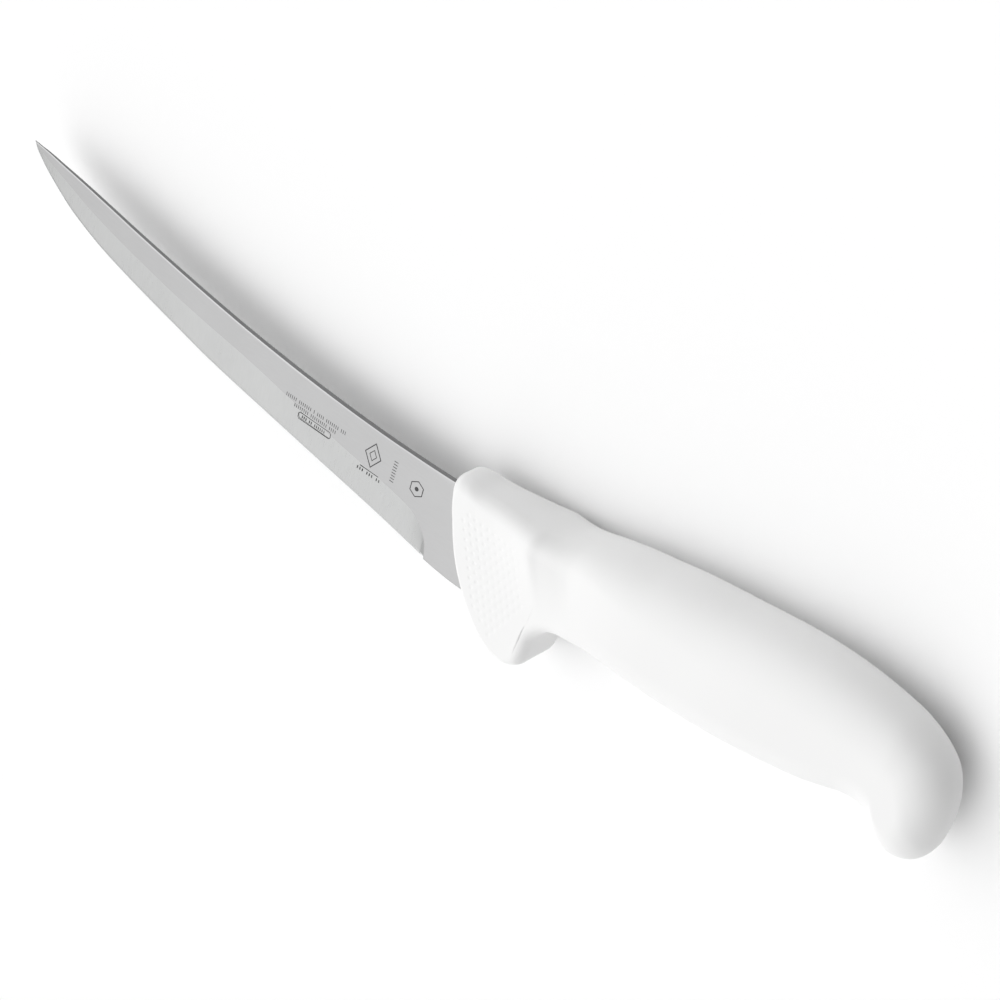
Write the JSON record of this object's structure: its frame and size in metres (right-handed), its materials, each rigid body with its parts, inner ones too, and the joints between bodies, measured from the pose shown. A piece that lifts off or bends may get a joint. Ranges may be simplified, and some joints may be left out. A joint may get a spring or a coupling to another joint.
{
  "type": "boning knife",
  "caption": "Curved narrow steel boning blade with a hidden tang in a moulded white grip with finger guard and hooked butt.",
  "frame": {"origin": "centre of the footprint of the knife's bounding box, on the floor plane its right side lies on", "axes": "+X along the knife from the tip to the butt, +Y from the cutting edge to the spine, +Z out of the left face of the blade, up when the knife lies on its right side"},
  "size_m": [0.2918, 0.0518, 0.0224],
  "materials": {
    "blade": "satin belt-ground stainless steel, fine lines across the blade, polished spine",
    "handle": "satin white polypropylene with a fine dimpled pad on each side of the finger guard"
  },
  "bodies": {
    "root": {"blade": "blade", "handle": "handle"}
  },
  "joints": []
}
